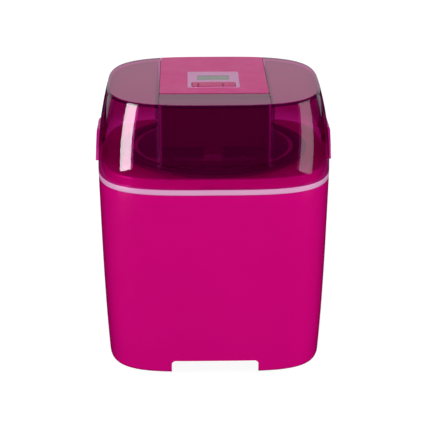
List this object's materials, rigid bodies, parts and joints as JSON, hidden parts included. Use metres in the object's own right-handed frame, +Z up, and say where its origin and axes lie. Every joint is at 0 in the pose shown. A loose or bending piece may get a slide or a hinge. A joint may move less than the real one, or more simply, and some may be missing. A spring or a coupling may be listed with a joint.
{
  "type": "ice cream maker",
  "caption": "Countertop ice cream maker with a rounded-square magenta housing, tinted clear lid, lift-out freezer bowl, filler flap, top-drive paddle and small display.",
  "frame": {"origin": "centre of the footprint, at the underside of the feet", "axes": "+Z up, the front with the filler flap faces -Y, +X to the object's left as it faces the user"},
  "size_m": [0.224, 0.194, 0.2669],
  "materials": {
    "body_plastic": "glossy magenta moulded plastic",
    "trim_plastic": "light pink satin plastic",
    "panel_plastic": "satin magenta moulded plastic",
    "motor_plastic": "dark magenta moulded plastic",
    "button_plastic": "satin magenta button caps",
    "bezel_plastic": "mauve satin bezel",
    "clear_tint": "clear plastic tinted dark magenta",
    "lcd_glass": "grey-green display window",
    "white_plastic": "white food-safe plastic",
    "plum_plastic": "dark plum moulded plastic",
    "ivory_plastic": "natural acetal",
    "grey_plastic": "dark grey moulded plastic",
    "bowl_aluminium": "spun aluminium",
    "gel": "sealed coolant gel",
    "steel": "turned or zinc-plated steel",
    "dark_steel": "blackened steel pins",
    "motor_steel": "pressed steel can",
    "brass": "turned brass",
    "copper": "varnished copper winding",
    "board": "green circuit board",
    "rubber": "black rubber",
    "dark_rubber": "dark flexible plastic",
    "grey_rubber": "grey silicone"
  },
  "bodies": {
    "housing": {"housing_shell": "body_plastic", "trim_ring": "trim_plastic", "bowl_collar": "body_plastic", "bowl_well": "white_plastic", "base_plate": "grey_plastic", "base_screws": "steel", "rubber_feet": "rubber"},
    "bowl": {"bowl_cup": "bowl_aluminium", "bowl_jacket": "plum_plastic", "coolant_gel": "gel", "bowl_rim_seal": "dark_rubber"},
    "lid": {"lid_shell": "clear_tint", "drive_bush": "ivory_plastic", "flap_pins": "dark_steel", "latch_pins": "dark_steel"},
    "flap": {"filler_flap": "clear_tint"},
    "latch_left": {"latch_left": "clear_tint"},
    "latch_right": {"latch_right": "clear_tint"},
    "paddle": {"mixing_paddle": "white_plastic"},
    "motor_unit": {"motor_housing": "motor_plastic", "control_panel": "panel_plastic", "panel_bezel": "bezel_plastic", "lcd_lens": "lcd_glass", "lcd_module": "grey_plastic", "circuit_board": "board", "board_screws": "steel", "tact_switches": "grey_plastic", "dome_left": "grey_rubber", "dome_middle": "grey_rubber", "dome_right": "grey_rubber", "gear_plate": "grey_plastic", "plate_screws": "steel", "idler_axle": "steel", "output_bush": "brass", "motor_can": "motor_steel", "motor_coil": "copper", "cover_screws": "steel", "cord_plate": "motor_plastic", "cord_gland": "dark_rubber"},
    "output_drive": {"output_shaft": "steel", "output_gear": "ivory_plastic"},
    "idler": {"idler_gear": "ivory_plastic"},
    "rotor": {"motor_rotor": "grey_plastic", "motor_shaft": "steel", "motor_pinion": "brass"},
    "button_left": {"button_left": "button_plastic"},
    "button_middle": {"button_middle": "button_plastic"},
    "button_right": {"button_right": "button_plastic"}
  },
  "joints": [
    {"name": "bowl_lift", "type": "slide", "parent": "housing", "child": "bowl", "axis": [0, 0, 1], "range_m": [0, 0.165]},
    {"name": "lid_lift", "type": "slide", "parent": "bowl", "child": "lid", "axis": [0, 0, 1], "range_m": [0, 0.16]},
    {"name": "motor_unit_lift", "type": "slide", "parent": "lid", "child": "motor_unit", "axis": [0, 0, 1], "range_m": [0, 0.07]},
    {"name": "flap_hinge", "type": "hinge", "parent": "lid", "child": "flap", "pos_m": [0, -0.0479, 0.2632], "axis": [-1, 0, 0], "range_deg": [0, 88]},
    {"name": "latch_left_hinge", "type": "hinge", "parent": "lid", "child": "latch_left", "pos_m": [-0.1056, 0, 0.214], "axis": [0, 1, 0], "range_deg": [0, 18], "stiffness_Nm_per_rad": 0.3, "springref_deg": -5.73},
    {"name": "latch_right_hinge", "type": "hinge", "parent": "lid", "child": "latch_right", "pos_m": [0.1056, 0, 0.214], "axis": [0, -1, 0], "range_deg": [0, 18], "stiffness_Nm_per_rad": 0.3, "springref_deg": -5.73},
    {"name": "paddle_spin", "type": "hinge", "parent": "lid", "child": "paddle", "pos_m": [0, 0, 0.2], "axis": [0, 0, 1], "continuous": true},
    {"name": "output_spin", "type": "hinge", "parent": "motor_unit", "child": "output_drive", "pos_m": [0, 0, 0.225], "axis": [0, 0, 1], "continuous": true},
    {"name": "idler_spin", "type": "hinge", "parent": "motor_unit", "child": "idler", "pos_m": [0, 0.0248, 0.228], "axis": [0, 0, 1], "continuous": true},
    {"name": "rotor_spin", "type": "hinge", "parent": "motor_unit", "child": "rotor", "pos_m": [0, 0.0456, 0.245], "axis": [0, 0, 1], "continuous": true},
    {"name": "button_left_press", "type": "slide", "parent": "motor_unit", "child": "button_left", "axis": [0, 0, -1], "range_m": [0, 0.0008], "stiffness_N_per_m": 600, "springref_m": -0.0008, "deforming": ["dome_left"]},
    {"name": "button_middle_press", "type": "slide", "parent": "motor_unit", "child": "button_middle", "axis": [0, 0, -1], "range_m": [0, 0.0008], "stiffness_N_per_m": 600, "springref_m": -0.0008, "deforming": ["dome_middle"]},
    {"name": "button_right_press", "type": "slide", "parent": "motor_unit", "child": "button_right", "axis": [0, 0, -1], "range_m": [0, 0.0008], "stiffness_N_per_m": 600, "springref_m": -0.0008, "deforming": ["dome_right"]}
  ],
  "couplings": [
    {"joint": "output_spin", "follows": "paddle_spin", "ratio": 1},
    {"joint": "idler_spin", "follows": "paddle_spin", "ratio": -3.4286},
    {"joint": "rotor_spin", "follows": "paddle_spin", "ratio": 11.429}
  ]
}
